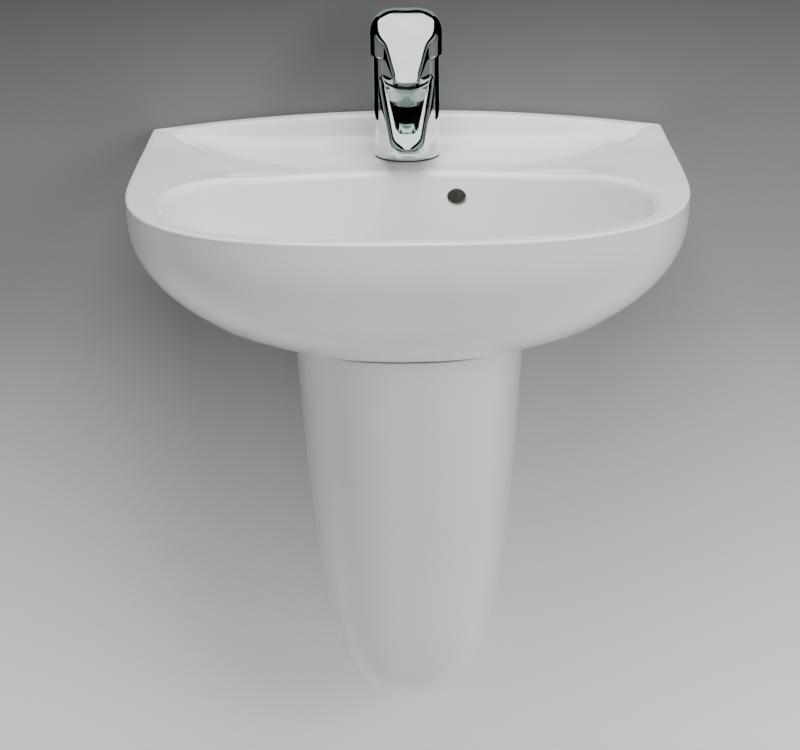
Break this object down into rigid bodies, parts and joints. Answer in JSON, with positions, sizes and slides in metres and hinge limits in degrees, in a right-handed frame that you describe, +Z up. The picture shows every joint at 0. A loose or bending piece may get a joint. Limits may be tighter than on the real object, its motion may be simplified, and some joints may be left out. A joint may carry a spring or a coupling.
{
  "type": "wall-hung washbasin with semi-pedestal",
  "caption": "Wall-hung china washbasin with a raised back lip, a bullet-shaped semi-pedestal over its trap and valves, a single-lever chrome mixer and a push-open waste.",
  "frame": {"origin": "middle of the two wall studs that carry the basin, on the wall plane", "axes": "+X to the right as a user faces the basin, +Y into the wall, +Z up"},
  "size_m": [0.5202, 0.4601, 0.7261],
  "materials": {
    "china": "glossy vitreous china glaze, warm white",
    "bright_chrome": "polished chrome plate",
    "zinc_steel": "zinc-plated steel",
    "steel_pin": "ground steel",
    "brass": "plain machined brass",
    "copper": "soft copper tube",
    "white_plastic": "moulded white plastic",
    "grey_plastic": "moulded grey plastic",
    "black_rubber": "soft black rubber",
    "disc_ceramic": "ground white alumina"
  },
  "bodies": {
    "root": {"basin": "china", "semi_pedestal": "china", "wall_studs": "zinc_steel", "stud_bushes": "white_plastic", "stud_washers": "zinc_steel", "stud_nuts": "zinc_steel", "pedestal_studs": "zinc_steel", "pedestal_washers": "zinc_steel", "pedestal_nuts": "zinc_steel", "tap_gasket": "black_rubber", "tap_body": "bright_chrome", "aerator_housing": "bright_chrome", "aerator_insert": "white_plastic", "cartridge_housing": "grey_plastic", "fixed_disc": "disc_ceramic", "cartridge_nut": "brass", "decor_ring": "bright_chrome", "clamp_seal": "black_rubber", "clamp_plate": "zinc_steel", "tap_stud": "zinc_steel", "clamp_nut": "brass", "hot_tail": "copper", "cold_tail": "copper", "hot_valve": "bright_chrome", "cold_valve": "bright_chrome", "valve_rosettes": "bright_chrome", "compression_nuts": "bright_chrome", "waste_flange": "bright_chrome", "waste_seal": "black_rubber", "waste_nut": "brass", "plug_guide": "white_plastic", "inlet_pipe": "bright_chrome", "coupling_nut": "bright_chrome", "trap_head": "bright_chrome", "trap_gland": "bright_chrome", "trap_cup": "bright_chrome", "outlet_pipe": "bright_chrome", "outlet_nut": "bright_chrome", "outlet_rosette": "bright_chrome"},
    "mixing_head": {"cartridge_rotor": "grey_plastic", "pivot_pin": "steel_pin"},
    "disc_slider": {"moving_disc": "disc_ceramic"},
    "lever_arm": {"lever": "bright_chrome", "lever_stem": "brass", "lever_screw": "steel_pin", "index_plug": "grey_plastic"},
    "waste_plug": {"plug": "bright_chrome", "plug_seal": "black_rubber"},
    "hot_knob": {"hot_handle": "bright_chrome", "hot_spindle": "brass"},
    "cold_knob": {"cold_handle": "bright_chrome", "cold_spindle": "brass"}
  },
  "joints": [
    {"name": "lever_swivel", "type": "hinge", "parent": "root", "child": "mixing_head", "pos_m": [0, -0.072, 0.134], "axis": [0, 0, 1], "range_deg": [-45, 45]},
    {"name": "lever_tilt", "type": "hinge", "parent": "mixing_head", "child": "lever_arm", "pos_m": [0, -0.072, 0.134], "axis": [-1, 0, 0], "range_deg": [0, 24]},
    {"name": "disc_slide", "type": "slide", "parent": "mixing_head", "child": "disc_slider", "axis": [0, -1, 0], "range_m": [0, 0.005]},
    {"name": "plug_slide", "type": "slide", "parent": "root", "child": "waste_plug", "axis": [0, 0, 1], "range_m": [-0.007, 0]},
    {"name": "hot_valve_turn", "type": "hinge", "parent": "root", "child": "hot_knob", "pos_m": [-0.062, -0.05, -0.262], "axis": [0, -1, 0], "range_deg": [0, 90]},
    {"name": "cold_valve_turn", "type": "hinge", "parent": "root", "child": "cold_knob", "pos_m": [0.062, -0.05, -0.262], "axis": [0, -1, 0], "range_deg": [0, 90]}
  ],
  "couplings": [
    {"joint": "disc_slide", "follows": "lever_tilt", "m_per_rad": 0.0117}
  ]
}
